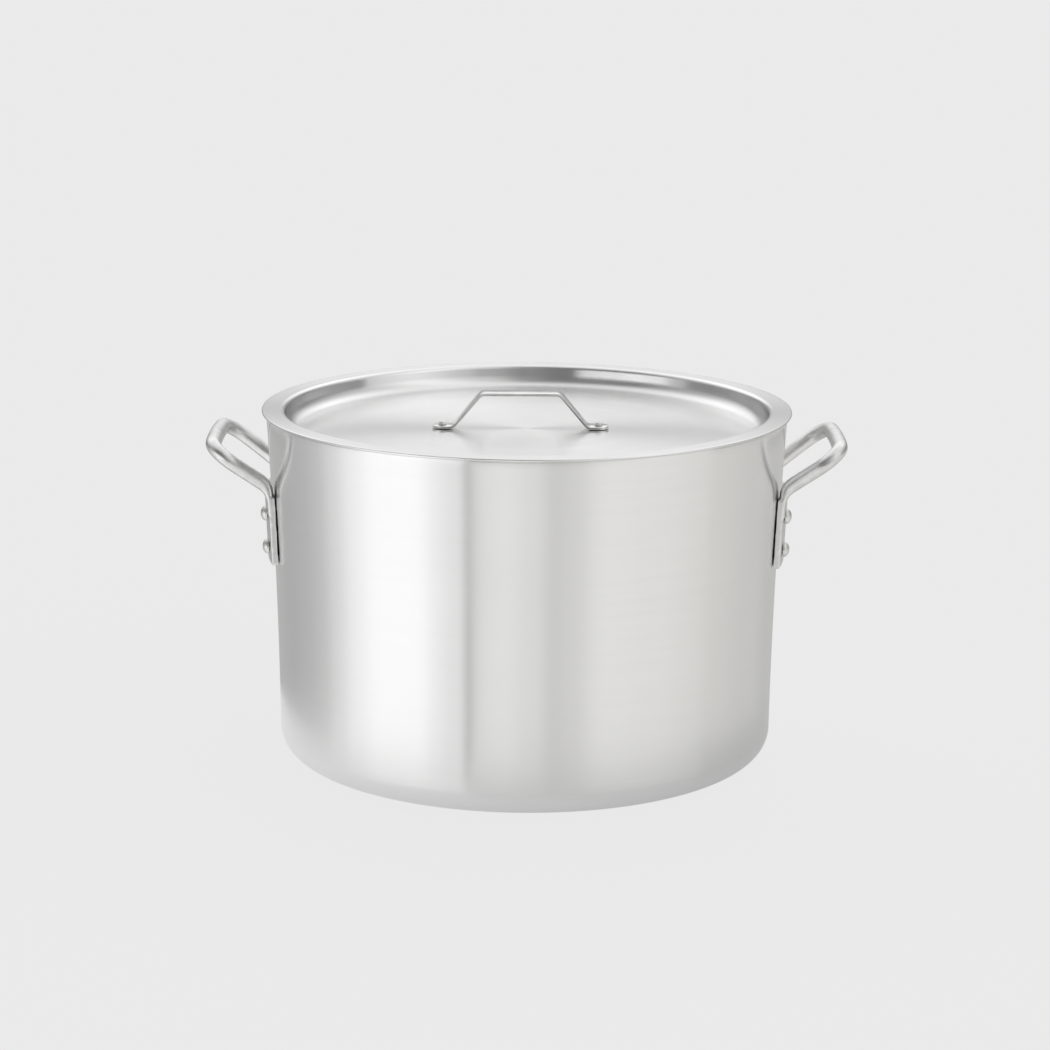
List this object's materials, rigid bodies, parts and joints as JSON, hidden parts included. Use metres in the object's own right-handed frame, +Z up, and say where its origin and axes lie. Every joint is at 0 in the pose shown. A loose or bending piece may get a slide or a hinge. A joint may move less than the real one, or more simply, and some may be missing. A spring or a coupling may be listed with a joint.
{
  "type": "stock pot",
  "caption": "Wide round metal stock pot with a slightly flared wall, riveted loop handles at the sides, and a recessed lift-off lid with a bent strap handle.",
  "frame": {"origin": "centre of the pot's flat underside, on the surface it stands on", "axes": "+Z up along the pot's axis, +X through the right side handle, -Y towards the front"},
  "size_m": [0.454, 0.3772, 0.2608],
  "materials": {
    "pot_shell": "fine brushed aluminium, grain round the wall",
    "lid_sheet": "fine brushed aluminium, spun grain",
    "casting": "tumbled satin cast aluminium",
    "strap": "bright rolled aluminium strap",
    "rivet": "satin solid aluminium rivet"
  },
  "bodies": {
    "pot": {"pot_body": "pot_shell", "side_handle_left": "casting", "side_handle_right": "casting", "rivet_left_front_lower": "rivet", "rivet_left_front_upper": "rivet", "rivet_left_back_lower": "rivet", "rivet_left_back_upper": "rivet", "rivet_right_front_lower": "rivet", "rivet_right_front_upper": "rivet", "rivet_right_back_lower": "rivet", "rivet_right_back_upper": "rivet"},
    "lid": {"lid_shell": "lid_sheet", "lid_handle": "strap", "lid_rivet_left": "rivet", "lid_rivet_right": "rivet"}
  },
  "joints": [
    {"name": "lid_lift", "type": "slide", "parent": "pot", "child": "lid", "axis": [0, 0, 1], "range_m": [0, 0.25]}
  ]
}
